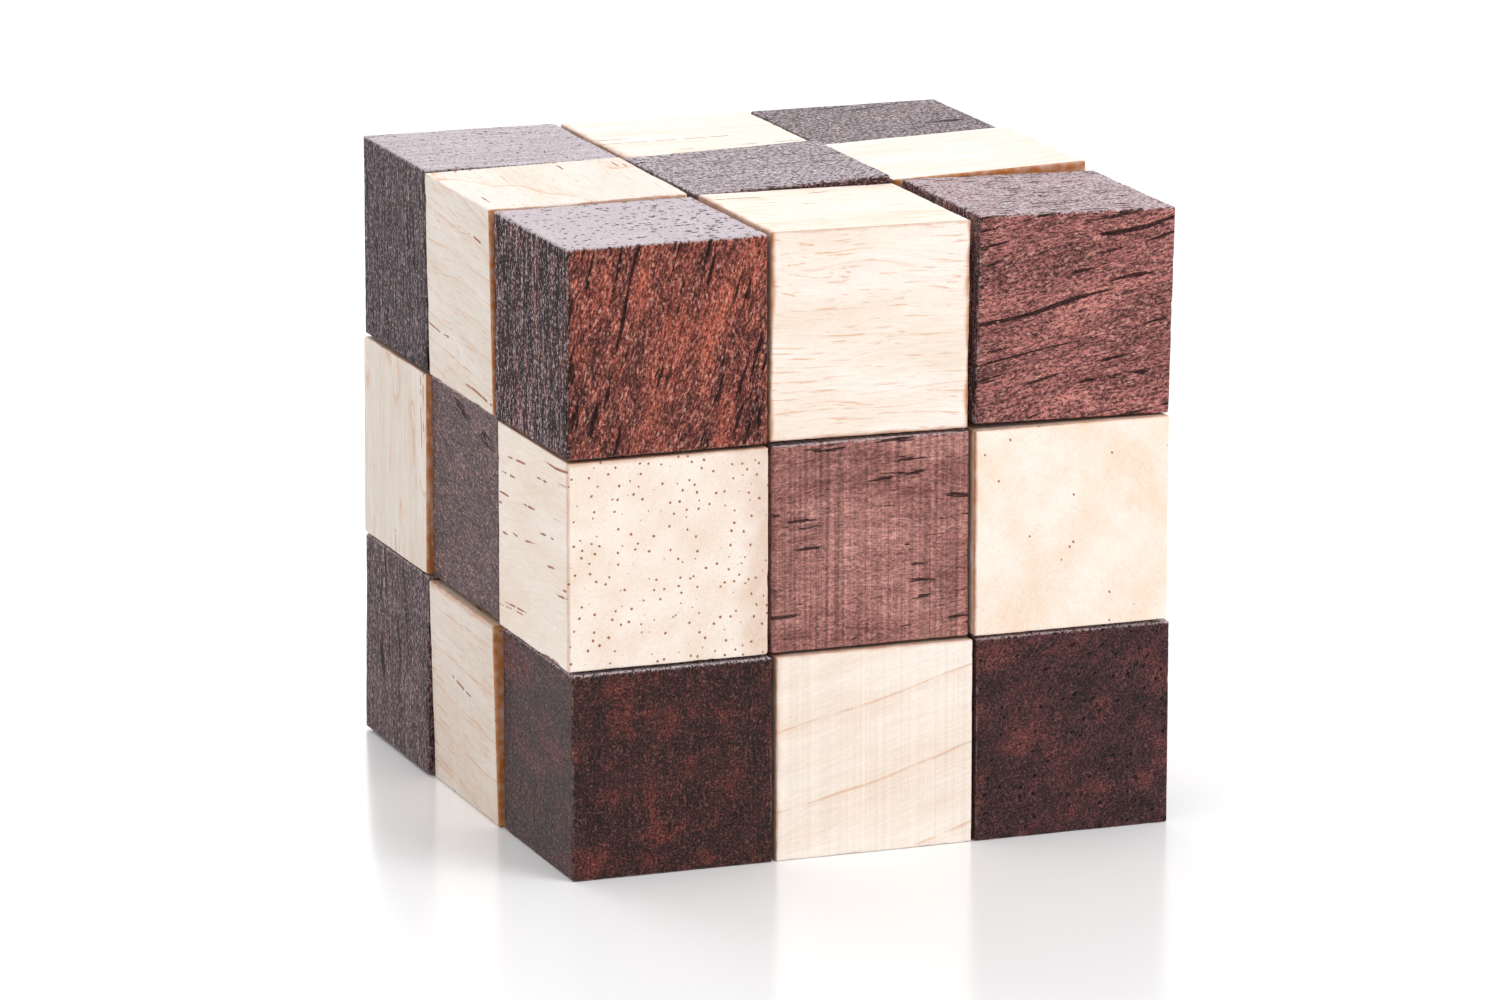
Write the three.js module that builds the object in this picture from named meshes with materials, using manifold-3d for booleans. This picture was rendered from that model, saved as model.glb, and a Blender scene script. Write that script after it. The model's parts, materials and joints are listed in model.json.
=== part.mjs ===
// Snake cube: twenty-seven wooden cubelets strung on one elastic cord and folded up into a cube.
// Millimetres, +Z up. The origin is at the middle of the cube's underside, with +Y towards its back.
import * as THREE from 'three';
import { ConvexGeometry } from 'three/addons/geometries/ConvexGeometry.js';
import { mergeVertices } from 'three/addons/utils/BufferGeometryUtils.js';
import Module from 'manifold-3d';

const wasm = await Module();
wasm.setup();

// Driving dimensions
const PITCH = 20; // from one cubelet's centre to the next
const EDGE = 19.7; // a cubelet's side, which leaves the working clearance between neighbours
const CHAMFER = 0.35; // worn edges
const BORE_RADIUS = 2.3; // the drilled way for the cord
const BORE_SIDES = 12;
const BORE_OVERRUN = 1.7; // how far each hole is drilled past the cubelet's centre
const POCKET_RADIUS = 3.5; // the wider hole in each end cubelet, for the knot and its plug
const POCKET_DEPTH = 8.4;
const POCKET_SIDES = 20;
const PLUG_RADIUS = 3.2;
const PLUG_LENGTH = 3;
const PLUG_RECESS = 0.1; // how far the plug sits inside the cubelet's face
const CORD_RADIUS = 1.25;
const CORD_SIDES = 8;
const CORD_BEND_RADIUS = 2.5;
const CORD_GAP = 0.3; // between two lengths of cord, and between a cord and its knot
const KNOT_RADIUS = 2.6;
const KNOT_LENGTH = 4.2;
const STRETCH_REACH = 3.2; // where a length of cord starts, measured from the centre it comes from
const PULL_REACH = -7; // the same where the cord is drawn a long way out of a straight bore

const DARK_WOOD = { color: '#6b4039', roughness: 0.62, metalness: 0 };
const LIGHT_WOOD = { color: '#f1dfc6', roughness: 0.6, metalness: 0 };
const PLUG_WOOD = { color: '#c9a277', roughness: 0.6, metalness: 0 };
const ELASTIC = { color: '#e4ddd0', roughness: 0.85, metalness: 0 };

// The fold: each letter is the step from one cubelet to the next.
const FOLD = 'UUBBDDRRULUFFDDRBLLURRFUBB';
const STEPS = {
  L: new THREE.Vector3(-1, 0, 0),
  R: new THREE.Vector3(1, 0, 0),
  F: new THREE.Vector3(0, -1, 0),
  B: new THREE.Vector3(0, 1, 0),
  D: new THREE.Vector3(0, 0, -1),
  U: new THREE.Vector3(0, 0, 1),
};
const COUNT = FOLD.length + 1;

// The run of cubelets that the others open away from, and the second run that stays together.
const CORE_RUN = [9, 16];
const INNER_RUN = [17, 21];
// The cubelets whose straight bore the cord is drawn out of by the long pull.
const PULLED_FROM = [8, 22];

// How loosely the cubelets sit: a shift in mm, and a lean about Y or a turn about Z in degrees.
const SEATS = {
  1: { shift: [0.2, -0.15, 0] },
  2: { shift: [-0.15, -0.1, 0] },
  3: { shift: [-0.3, -0.1, 0], turn: 0.8 },
  4: { shift: [-0.45, 0, 0.15], lean: -0.9, turn: -0.5 },
  5: { shift: [-0.25, 0.1, 0.15], turn: -0.4 },
  6: { shift: [-0.45, 0.1, 0.1], lean: 0.4 },
  7: { shift: [-0.5, 0.1, 0.12], lean: 0.7 },
  12: { shift: [0.15, 0, 0.05] },
  13: { shift: [0.05, 0, 0.4], lean: -1.6 },
  14: { shift: [-0.2, 0, 0.05], lean: 0.6 },
  15: { shift: [-0.07, 0.15, 0] },
  16: { shift: [0.3, -0.15, 0] },
  17: { shift: [0.35, -0.15, 0] },
  20: { shift: [-0.3, 0.05, 0.23], lean: -1.3, turn: -0.4 },
  21: { shift: [0, 0.05, 0.2] },
  22: { shift: [0, 0.05, 0] },
  24: { shift: [-0.05, -0.5, 0] },
  25: { shift: [0.3, -0.05, 0.05], lean: 1.3 },
  26: { shift: [0.2, 0.1, 0.4], lean: -1.6 },
  27: { shift: [0.25, 0.15, 0] },
};

/** The cells that the chain passes through, in order. */
function foldedCells() {
  const cells = [new THREE.Vector3(0, 0, 0)];
  for (const letter of FOLD) cells.push(cells.at(-1).clone().add(STEPS[letter]));
  return cells;
}

const CELLS = foldedCells();

/** The middle of a cubelet's cell; cubelets are numbered from 1. */
function cellCentre(number) {
  const cell = CELLS[number - 1];
  return new THREE.Vector3((cell.x - 1) * PITCH, (cell.y - 1) * PITCH, EDGE / 2 + cell.z * PITCH);
}

/** The step that the chain takes from one cubelet to its neighbour, forwards or backwards. */
function stepBetween(from, to) {
  return CELLS[to - 1].clone().sub(CELLS[from - 1]);
}

/** True where the chain goes straight on through a cubelet. */
function isStraight(number) {
  return number > 1 && number < COUNT && FOLD[number - 2] === FOLD[number - 1];
}

/** The neighbours that a cubelet is tied to. */
function neighbours(number) {
  return [number - 1, number + 1].filter((other) => other >= 1 && other <= COUNT);
}

function toSolid(geometry) {
  const bare = geometry.clone();
  bare.deleteAttribute('normal');
  bare.deleteAttribute('uv');
  const merged = mergeVertices(bare);
  const vertProperties = new Float32Array(merged.attributes.position.array);
  const triVerts = new Uint32Array(merged.index.array);
  return new wasm.Manifold(new wasm.Mesh({ numProp: 3, vertProperties, triVerts }));
}

function toGeometry(solid) {
  const { vertProperties, triVerts } = solid.getMesh();
  const geometry = new THREE.BufferGeometry();
  geometry.setAttribute('position', new THREE.BufferAttribute(vertProperties, 3));
  geometry.setIndex(new THREE.BufferAttribute(triVerts, 1));
  geometry.computeVertexNormals();
  return geometry;
}

/** A block with chamfered edges: the hull of three points near each of its eight corners. */
function chamferedCube() {
  const outer = EDGE / 2;
  const inner = outer - CHAMFER;
  const points = [];
  for (const x of [-1, 1]) {
    for (const y of [-1, 1]) {
      for (const z of [-1, 1]) {
        points.push(new THREE.Vector3(x * outer, y * inner, z * inner));
        points.push(new THREE.Vector3(x * inner, y * outer, z * inner));
        points.push(new THREE.Vector3(x * inner, y * inner, z * outer));
      }
    }
  }
  return new ConvexGeometry(points);
}

/** A round rod that runs along a direction from one distance from the centre to another. */
function rod(radius, sides, direction, start, end) {
  const geometry = new THREE.CylinderGeometry(radius, radius, end - start, sides);
  geometry.translate(0, (start + end) / 2, 0);
  const up = new THREE.Vector3(0, 1, 0);
  geometry.applyQuaternion(new THREE.Quaternion().setFromUnitVectors(up, direction));
  return geometry;
}

/** The drilled holes of one cubelet: one from each face that the cord passes. */
function bores(number) {
  const outside = EDGE / 2 + 1;
  const holes = neighbours(number).map((other) => {
    const direction = stepBetween(number, other);
    return rod(BORE_RADIUS, BORE_SIDES, direction, -BORE_OVERRUN, outside);
  });
  if (holes.length === 2) return holes;
  const away = stepBetween(neighbours(number)[0], number);
  holes.push(rod(POCKET_RADIUS, POCKET_SIDES, away, EDGE / 2 - POCKET_DEPTH, outside));
  return holes;
}

/** Places a mesh in its cubelet's seat, with that seat's shift, lean and turn. */
function seat(mesh, number) {
  const { shift = [0, 0, 0], lean = 0, turn = 0 } = SEATS[number] ?? {};
  mesh.position.copy(cellCentre(number)).add(new THREE.Vector3(...shift));
  mesh.rotation.set(0, THREE.MathUtils.degToRad(lean), THREE.MathUtils.degToRad(turn));
  return mesh;
}

function makeMesh(name, geometry, finish) {
  const mesh = new THREE.Mesh(geometry, new THREE.MeshStandardMaterial(finish));
  mesh.name = name;
  return mesh;
}

const twoDigits = (number) => String(number).padStart(2, '0');

/** One wooden cubelet, bored for the cord. Odd numbers are dark and even numbers are light. */
function cubelet(number) {
  const isEnd = number === 1 || number === COUNT;
  const kind = isEnd ? 'end' : isStraight(number) ? 'straight' : 'corner';
  const isDark = number % 2 === 1;
  const cut = bores(number).reduce((block, hole) => block.subtract(toSolid(hole)), toSolid(chamferedCube()));
  const name = `cubelet_${twoDigits(number)}_${isDark ? 'dark' : 'light'}_${kind}`;
  return seat(makeMesh(name, toGeometry(cut), isDark ? DARK_WOOD : LIGHT_WOOD), number);
}

/** A polyline that an extrusion follows vertex by vertex, so straight runs stay one step long. */
class CordRoute extends THREE.Curve {
  constructor(points) {
    super();
    this.points = points;
  }

  getPoint(t, target = new THREE.Vector3()) {
    const place = t * (this.points.length - 1);
    const index = Math.min(Math.floor(place), this.points.length - 2);
    return target.lerpVectors(this.points[index], this.points[index + 1], place - index);
  }

  getPointAt(u, target) {
    return this.getPoint(u, target);
  }

  getSpacedPoints(divisions) {
    return this.getPoints(divisions);
  }

  getTangentAt(u, target = new THREE.Vector3()) {
    const index = Math.round(u * (this.points.length - 1));
    const before = this.points[Math.max(index - 1, 0)];
    const after = this.points[Math.min(index + 1, this.points.length - 1)];
    return target.subVectors(after, before).normalize();
  }
}

/** The points of the cord's quarter turn inside a cubelet. */
function bendPoints(number) {
  const centre = cellCentre(number);
  const back = stepBetween(number, number - 1);
  const on = stepBetween(number, number + 1);
  const pivot = centre.clone().addScaledVector(back, CORD_BEND_RADIUS).addScaledVector(on, CORD_BEND_RADIUS);
  const segments = 4;
  return Array.from({ length: segments + 1 }, (_, i) => {
    const angle = (i / segments) * (Math.PI / 2);
    return pivot.clone()
      .addScaledVector(on, -Math.cos(angle) * CORD_BEND_RADIUS)
      .addScaledVector(back, -Math.sin(angle) * CORD_BEND_RADIUS);
  });
}

/** True where the way from a cubelet to its neighbour leads towards the core run. */
function leadsToCore(number, other) {
  return number < CORE_RUN[0] ? other > number : other < number && number > CORE_RUN[1];
}

/** Where a length of cord ends, on the side of a neighbour that may lie past the chain's end. */
function cordEnd(number, other) {
  if (other < 1 || other > COUNT) {
    const away = stepBetween(neighbours(number)[0], number);
    const knotTop = EDGE / 2 - PLUG_RECESS - PLUG_LENGTH - CORD_GAP - KNOT_LENGTH;
    return cellCentre(number).addScaledVector(away, knotTop - CORD_GAP);
  }
  const isComingIn = leadsToCore(number, other);
  const parent = isComingIn ? other : number;
  const child = isComingIn ? number : other;
  const reach = PULLED_FROM.includes(parent) ? PULL_REACH : STRETCH_REACH;
  const distance = isComingIn ? reach : reach - CORD_GAP;
  return cellCentre(parent).addScaledVector(stepBetween(parent, child), distance);
}

/** The length of cord that moves with a run of cubelets. */
function cordLength(name, first, last) {
  const points = [cordEnd(first, first - 1)];
  for (let number = first; number <= last; number += 1) {
    if (number > 1 && number < COUNT && !isStraight(number)) points.push(...bendPoints(number));
  }
  points.push(cordEnd(last, last + 1));
  const section = new THREE.Shape();
  for (let side = 0; side < CORD_SIDES; side += 1) {
    const angle = (side / CORD_SIDES) * Math.PI * 2;
    const corner = [Math.cos(angle) * CORD_RADIUS, Math.sin(angle) * CORD_RADIUS];
    if (side === 0) section.moveTo(...corner);
    else section.lineTo(...corner);
  }
  section.closePath();
  const extrudePath = new CordRoute(points);
  const geometry = new THREE.ExtrudeGeometry(section, { steps: points.length - 1, extrudePath });
  return makeMesh(name, geometry, ELASTIC);
}

/** The knot that stops the cord's end, as the round outline of its turns. */
function knot(name, number) {
  const rings = 6;
  const profile = Array.from({ length: rings + 1 }, (_, i) => {
    const angle = (i / rings) * Math.PI;
    return new THREE.Vector2(Math.sin(angle) * KNOT_RADIUS, (-Math.cos(angle) * KNOT_LENGTH) / 2);
  });
  profile[0].x = 0;
  profile[rings].x = 0;
  const geometry = new THREE.LatheGeometry(profile, 12);
  const away = stepBetween(neighbours(number)[0], number);
  const distance = EDGE / 2 - PLUG_RECESS - PLUG_LENGTH - CORD_GAP - KNOT_LENGTH / 2;
  geometry.translate(0, distance, 0);
  geometry.applyQuaternion(new THREE.Quaternion().setFromUnitVectors(new THREE.Vector3(0, 1, 0), away));
  return seat(makeMesh(name, geometry, ELASTIC), number);
}

/** The wooden plug glued over the knot. */
function plug(name, number) {
  const away = stepBetween(neighbours(number)[0], number);
  const face = EDGE / 2 - PLUG_RECESS;
  const geometry = rod(PLUG_RADIUS, POCKET_SIDES, away, face - PLUG_LENGTH, face);
  return seat(makeMesh(name, geometry, PLUG_WOOD), number);
}

/** The runs of cubelets that stay together; every other cubelet is a run of its own. */
function movingRuns() {
  const runs = [CORE_RUN, INNER_RUN];
  for (let number = 1; number <= COUNT; number += 1) {
    const isInRun = number >= CORE_RUN[0] && number <= INNER_RUN[1];
    if (!isInRun) runs.push([number, number]);
  }
  return runs;
}

const cube = new THREE.Group();
for (let number = 1; number <= COUNT; number += 1) cube.add(cubelet(number));
for (const [first, last] of movingRuns()) {
  const span = first === last ? twoDigits(first) : `${twoDigits(first)}_to_${twoDigits(last)}`;
  cube.add(cordLength(`elastic_${span}`, first, last));
}
for (const [letter, number] of [['a', 1], ['b', COUNT]]) {
  cube.add(knot(`knot_${letter}`, number));
  cube.add(plug(`plug_${letter}`, number));
}

export default cube;
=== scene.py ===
"""Snake cube: twenty-seven wooden cubelets on one elastic cord, shown folded up on a pale table."""
import json
import math

import bpy
import numpy as np
from mathutils import Matrix, Quaternion, Vector, noise

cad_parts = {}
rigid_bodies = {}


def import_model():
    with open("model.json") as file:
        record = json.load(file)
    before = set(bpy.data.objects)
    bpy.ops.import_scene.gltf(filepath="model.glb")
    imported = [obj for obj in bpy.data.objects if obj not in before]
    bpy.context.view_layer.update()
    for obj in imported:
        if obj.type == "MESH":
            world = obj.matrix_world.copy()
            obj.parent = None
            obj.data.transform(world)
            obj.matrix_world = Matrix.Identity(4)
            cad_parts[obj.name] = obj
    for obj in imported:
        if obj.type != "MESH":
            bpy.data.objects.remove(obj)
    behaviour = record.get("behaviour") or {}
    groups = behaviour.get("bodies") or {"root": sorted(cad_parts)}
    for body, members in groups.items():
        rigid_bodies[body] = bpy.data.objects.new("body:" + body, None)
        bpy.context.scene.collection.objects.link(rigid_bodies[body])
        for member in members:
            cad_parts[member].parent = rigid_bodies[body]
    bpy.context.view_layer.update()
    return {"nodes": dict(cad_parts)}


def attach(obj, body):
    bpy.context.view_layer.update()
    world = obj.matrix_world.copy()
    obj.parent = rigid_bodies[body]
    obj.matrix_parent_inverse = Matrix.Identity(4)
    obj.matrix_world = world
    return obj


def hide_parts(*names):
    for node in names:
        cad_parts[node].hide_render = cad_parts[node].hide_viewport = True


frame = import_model()

bl_info = {
    "name": "Snake Cube",
    "version": (1, 0, 0),
    "blender": (4, 5, 0),
    "location": "View3D > Sidebar > Snake Cube",
    "description": "Dresses the packed snake cube in worn wood and braided elastic",
    "category": "Object",
}

MM = 0.001
COUNT = 27

# How the cord runs: each letter is the step from one cubelet to the next.
FOLD = "UUBBDDRRULUFFDDRBLLURRFUBB"
STEPS = {
    "L": Vector((-1, 0, 0)),
    "R": Vector((1, 0, 0)),
    "F": Vector((0, -1, 0)),
    "B": Vector((0, 1, 0)),
    "D": Vector((0, 0, -1)),
    "U": Vector((0, 0, 1)),
}
FACES = dict(zip(("left", "right", "front", "back", "under", "top"), STEPS.values()))

# Sizes in millimetres, as the cubelets, their bores and the cord were made.
CELL = 19.7
HALF = CELL / 2
PITCH = 20.0
BORE_RADIUS = 2.3
BORE_OVERRUN = 1.7
POCKET_RADIUS = 3.5
POCKET_DEPTH = 8.4
PLUG_RADIUS = 3.2
PLUG_LENGTH = 3.0
PLUG_RECESS = 0.1
PLUG_TOP = HALF - PLUG_RECESS
KNOT_LENGTH = 4.2
KNOT_SPREAD = 1.15
KNOT_SWING = 0.5
KNOT_RISE = 1.1
KNOT_CORD = 1.8
KNOT_RELIEF = 0.1
CORD_GAP = 0.3
KNOT_TOP = PLUG_TOP - PLUG_LENGTH - CORD_GAP
CORD_BEND_RADIUS = 2.5
BRAID_STEP = 0.22
STRETCH_REACH = 3.2
PULL_REACH = -7.0

# The mouth of a bore is opened by a short cone. The second bore of a cubelet is a hair narrower, so that
# the two cutters share no surface, and one that runs straight on starts well inside the first.
MOUTH_DEPTH = 0.6
SECOND_BORE = BORE_RADIUS * 0.985
SECOND_START = 4.0
CUT_CLEARANCE = 1.0
POCKET_FLARE = 0.1

# The cubelets that are pulled away from, and the two runs of cubelets that move as one.
PULLED_FROM = (8, 22)
CORE_RUN = (9, 16)
INNER_RUN = (17, 21)
ENDS = (("a", 1), ("b", COUNT))

# How a cubelet is worn and where shade is painted: the share of its lattice lines gathered at the edges, how
# far in from an edge a bore's lip may start and how deep its wall begins, how deep a face still counts as
# itself for the painted shade, a painted strip and a mark, and how far the marks fade. Where two neighbours
# meet, shade is painted in a band that wanders.
CROWDING = 0.88
LIP_INSET = 1.2
LIP_START = 0.12
LIP_FADE = 0.4
WALL_DEPTH = 0.9
GAP_SHADE_SKIN = 0.06
FACE_SKIN = 0.3
FACE_FADE = 0.25
GAP_SHADE_WIDTH = 1.5
GAP_SHADE_WANDER = 1.3
GAP_SHADE_STRENGTH = 0.8
STRIP_PLATEAU = 1.35
STRIP_WANDER = 0.8
WANDER_PACE = 0.45
EDGE_REACH = 3.0

# How far apart in the endless patterns each cubelet's wood, wear and painted shade are cut from.
DARK_SHIFT = 13.7
LIGHT_SHIFT = 11.3
WEAR_SHIFT = 3.1
GAP_SHADE_SHIFT = 9.7
TRACK_SHIFT = 40.0

BEND_STEPS = 8
KNOT_STEPS = 96
BORE_SIDES = 40
CORD_SIDES = 32
PLUG_SIDES = 64
BRAID_STRANDS = 8.0
SHARP_ANGLE = math.radians(34)
WELD_REACH = 0.0005
PLUG_RIPPLE = 0.004
PLUG_ROLL = 20
PLUG_SHADE = 0.72
NODE_GAPS = (190, 230)
NODES_ABREAST = 12

# The stage, in metres but for the camera's sensor: how far the table reaches, the height that the lamps
# point at, and each lamp's width and place.
SENSOR_WIDTH = 36
TABLE_REACH = 6.0
MID_HEIGHT = 0.03
LAMPS = {"key": (0.6, (0.45, -0.6, 0.7)), "back": (1.6, (-0.2, 1.5, 0.75))}

# A flat face looks this squarely along an axis, and lies this many millimetres from the middle or more.
SQUARE_ON = 0.995
FLAT_FROM = 9.0

# What sets one dark cubelet apart.
#   tones: deep, brown and red.  grain: the way the grain runs.  roll: its turn about the grain, in degrees.
#   vessels, bore, spacing, run: the share of vessels that show, their radius, how far apart they lie and
#     how long one stays open, in millimetres.
#   blotch, grit, flecks, dust: the strength of the red blotches, the coarse fibres, the pale flecks, and
#     the painted sheen of pale specks on the top face.
#   clusters: the length and width of a cluster of dashes in millimetres, and the share of them filled.
#   saw, saw_depth: the saw's strokes per millimetre along X, Y and Z, and how strongly they show.
#   sawn: the faces left rough-sawn, each with its strength, which also sets how dark the shade painted into
#       their grooves is.
DARK_COMMON = dict(
    tones=("#38201D", "#542F2B", "#78463D"), roll=0, vessels=0.7, bore=0.2, spacing=1.7, run=9.0, blotch=0.5,
    grit=1.0, flecks=1.0, dust=1.0, clusters=(8, 2.5, 0.2), saw=(0.1, 3, 0.05), saw_depth=0.3, sawn=(),
    stains=())
DARK_CUBELETS = {
    1: dict(tones=("#24120F", "#371E1C", "#6E312B"), grain=(0.3, 1, 0.1), vessels=0.5, bore=0.13, blotch=0.45,
            clusters=(8, 2, 0.0), saw=(5, 0.05, 0.05), saw_depth=0.8, sawn=(("left", 0.1),), flecks=0.25),
    3: dict(tones=("#3A1B17", "#693029", "#B05A44"), grain=(0.28, 0.03, 1), vessels=0.95, spacing=1.25,
            run=6.0, blotch=0.9, clusters=(7, 1.1, 0.6), saw_depth=0.0, sawn=(("left", 1.0),), dust=1.7),
    5: dict(tones=("#3A2B30", "#524147", "#70545B"), grain=(0.1, 0.05, 1), vessels=0.8, bore=0.22, blotch=0.2,
            clusters=(12, 1.2, 0.4), saw=(0.1, 2.2, 0.06), saw_depth=0.8, sawn=(("left", 0.6),), dust=1.4),
    7: dict(tones=("#423136", "#5D474B", "#7D5E62"), grain=(0.05, 0.2, 1), blotch=0.2, clusters=(9, 2, 0.3),
            saw=(0.1, 1.6, 0.05), saw_depth=0.6, sawn=(("left", 0.4),)),
    9: dict(grain=(0.05, 1, 0.1), saw=(3, 0.1, 0.05), saw_depth=0.4),
    11: dict(tones=("#3A211F", "#58322F", "#7C4941"), grain=(1, 0.04, 0.1), clusters=(8, 2.5, 0.3)),
    13: dict(tones=("#3A2326", "#523538", "#70464A"), grain=(1, 0.12, 0.05), vessels=0.6, bore=0.18,
             blotch=0.4, clusters=(8, 2.5, 0.3), saw=(0.05, 2.5, 0.1), saw_depth=0.5, dust=0.7),
    15: dict(tones=("#7C4A45", "#A06C65", "#C08B81"), grain=(1, 0.05, 0.03), bore=0.26, spacing=1.9,
             blotch=0.3, clusters=(8, 0.9, 0.6), saw=(2.6, 0.1, 0.03), saw_depth=1.2, flecks=0.5, grit=0.55),
    17: dict(tones=("#2B1819", "#412526", "#6B3733"), grain=(0.8, 1, 0.5), vessels=1.0, bore=0.18,
             spacing=1.3, run=5.0, blotch=0.3, clusters=(8, 3, 0.0), saw_depth=0.0, flecks=0.15),
    19: dict(grain=(0, 0.1, 1)),
    21: dict(tones=("#3A2729", "#513A3D", "#6A4B4E"), grain=(0.05, 1, 0.2), vessels=0.3, bore=0.15,
             blotch=0.2, clusters=(8, 2.5, 0.1), saw=(0.1, 1.5, 0.1), saw_depth=0.2),
    23: dict(tones=("#3A201D", "#58302C", "#80483F"), grain=(0.1, 0.03, 1), vessels=0.8, blotch=0.6,
             clusters=(9, 2.2, 0.4)),
    25: dict(tones=("#623533", "#8D5450", "#BC776F"), grain=(1, 0.012, 0.19), vessels=0.95, bore=0.23,
             spacing=1.15, run=20.0, blotch=0.35, clusters=(16, 0.9, 0.5), saw_depth=0.0,
             sawn=(("left", 0.7),), dust=0.75),
    27: dict(tones=("#32201F", "#463030", "#5E4042"), grain=(1, 0.3, 0.05), vessels=0.6,
             clusters=(8, 2.5, 0.3), saw=(0.05, 2.5, 0.1), dust=0.3),
}

# The same for the light cubelets, with these differences.
#   tones: cream, tan and honey.  pores: the share of pores that show.
#   rings, spacing, bend: the strength of the ring lines, and in millimetres how far apart they lie and
#     how far they stray.  wave: how far the grain strays, in millimetres.
#   stains: the face, the edge along which shade and warm bounced light are painted on it, the strip's width
#       in millimetres and its strength.
LIGHT_COMMON = dict(
    tones=("#E8DBD0", "#E1CFBD", "#D5BA99"), roll=0, pores=0.4, bore=0.16, rings=0.5, spacing=5.3, bend=4.0,
    flecks=0.4, wave=2.0, saw=(0.1, 0.1, 0.1), saw_depth=0.1, sawn=(), stains=())
LIGHT_CUBELETS = {
    2: dict(tones=("#EFE2D7", "#E8D6C5", "#DFC6AA"), grain=(0.03, 1, -0.06), roll=25, pores=1.0, bore=0.145,
            rings=0.1, flecks=0.0, saw_depth=0.0,
            stains=(("front", "right", 2.4, 0.3), ("front", "top", 0.25, 0.5), ("left", "front", 0.3, 0.4))),
    4: dict(tones=("#E4D9D0", "#DCCEC0", "#CFB99F"), grain=(0.05, 1, 0.07), roll=80, pores=0.25, bore=0.15,
            rings=0.9, spacing=2.6, bend=3.0, flecks=0.6, stains=(("front", "left", 1.5, 1.0),)),
    6: dict(tones=("#E3D9D0", "#DBCDBF", "#CDB598"), grain=(0, 0.03, 1), pores=0.2, bore=0.15, rings=0.7,
            spacing=2.2, flecks=0.5, saw=(0.1, 1.5, 0.04), saw_depth=0.6,
            stains=(("front", "left", 2.0, 1.0),)),
    8: dict(grain=(1, 0.03, 0.1), flecks=0.5),
    10: dict(grain=(0.1, 1, 0.03), roll=40, pores=0.5),
    12: dict(tones=("#EFE6DE", "#E8DACC", "#DCC8B0"), grain=(1, 0.05, 0.02), pores=0.3, bore=0.15, rings=0.4,
             stains=(("top", "left", 0.5, 0.6),)),
    14: dict(tones=("#F1E6DC", "#EAD9C8", "#DFC6A9"), grain=(1, 0.02, -0.03), roll=70, pores=0.15, bore=0.14,
             rings=0.3, bend=2.5, flecks=0.8, wave=3.6,
             stains=(("front", "right", 0.35, 1.0), ("front", "left", 0.3, 0.9), ("front", "under", 0.3, 0.8),
                     ("front", "top", 0.2, 0.5), ("top", "left", 0.3, 0.7))),
    16: dict(tones=("#F2E6DB", "#ECDBCB", "#E2CAAE"), grain=(1, 0.02, 0.26), roll=90, pores=0.04, bore=0.14,
             rings=0.6, spacing=7.5, bend=2.6, flecks=0.05, saw=(3.5, 0.1, 0.03), saw_depth=0.6,
             stains=(("front", "left", 0.2, 0.6), ("front", "top", 0.2, 0.5))),
    18: dict(grain=(0.03, 1, 0.1), roll=15, pores=0.5, rings=0.4),
    20: dict(tones=("#E2D6CC", "#DACABA", "#CDB296"), grain=(0.03, 1, 0.09), roll=80, pores=0.25, bore=0.15,
             rings=0.8, spacing=4.0, flecks=0.7, saw=(0.1, 1.2, 0.04), saw_depth=0.3,
             stains=(("front", "left", 2.0, 1.0), ("left", "top", 0.4, 0.6))),
    22: dict(grain=(0.03, 0.02, 1)),
    24: dict(tones=("#F4E6DA", "#EDD6C0", "#FBF6F2"), grain=(0.6, 1, -0.8), roll=30, pores=0.06, bore=0.12,
             rings=0.05, bend=1.0, flecks=0.05, saw_depth=0.05,
             stains=(("front", "left", 0.22, 0.9), ("front", "top", 0.15, 0.5))),
    26: dict(tones=("#EFE6DE", "#E8DACC", "#DCC8B0"), grain=(1, 0.1, 0.02), pores=0.2, bore=0.15, rings=0.3,
             flecks=0.3, stains=(("front", "top", 1.5, 1.0), ("top", "front", 0.4, 0.6))),
}

# Settings that many nodes share.
TIMES = {"operation": "MULTIPLY"}
PLUS = {"operation": "ADD"}
MINUS = {"operation": "SUBTRACT"}
TIMES_PLUS = {"operation": "MULTIPLY_ADD"}
LARGER = {"operation": "MAXIMUM"}
SMALLER = {"operation": "MINIMUM"}
SINE = {"operation": "SINE"}
SCALED = {"operation": "SCALE"}
SMOOTH = {"interpolation_type": "SMOOTHSTEP"}
TWO_COLOURS = {"data_type": "RGBA"}
ON_POINTS = {"data_type": "FLOAT", "domain": "POINT"}


def linear(hex_colour):
    """Turns an sRGB hex value into the linear colour that a shader takes."""
    levels = [int(hex_colour[i:i + 2], 16) / 255 for i in (1, 3, 5)]
    return [v / 12.92 if v <= 0.04045 else ((v + 0.055) / 1.055) ** 2.4 for v in levels] + [1.0]


def hex_colour(name, default, description):
    """A colour property whose default is an sRGB hex value."""
    return bpy.props.FloatVectorProperty(
        name=name, description=description, subtype="COLOR", size=4, min=0, max=1, default=linear(default))


def length(name, default, most, description, least=0.0):
    """A length property, in metres, whose default and limits are given in millimetres."""
    return bpy.props.FloatProperty(
        name=name, description=description, default=default * MM, min=least * MM, max=most * MM,
        unit="LENGTH", precision=5)


class CubeletSettings(bpy.types.PropertyGroup):
    """Sizes of the worn wooden cubelets."""

    rounding: length("Edge rounding", 0.16, 1.0, "Radius of a cubelet's sanded edges", least=0.05)
    wear: length("Edge wear", 0.3, 1.5, "How much more an edge is rounded where it is worn or chipped")
    ripple: length("Face ripple", 0.03, 0.3, "Depth of the shallow hollows that sanding leaves in a face")
    flare: length("Bore flare", 0.45, 1.0, "How far the mouth of a cord hole is worn open")
    cells: bpy.props.IntProperty(
        name="Lattice", description="Rows of faces along a cubelet's side", default=48, min=12, max=80)


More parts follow.
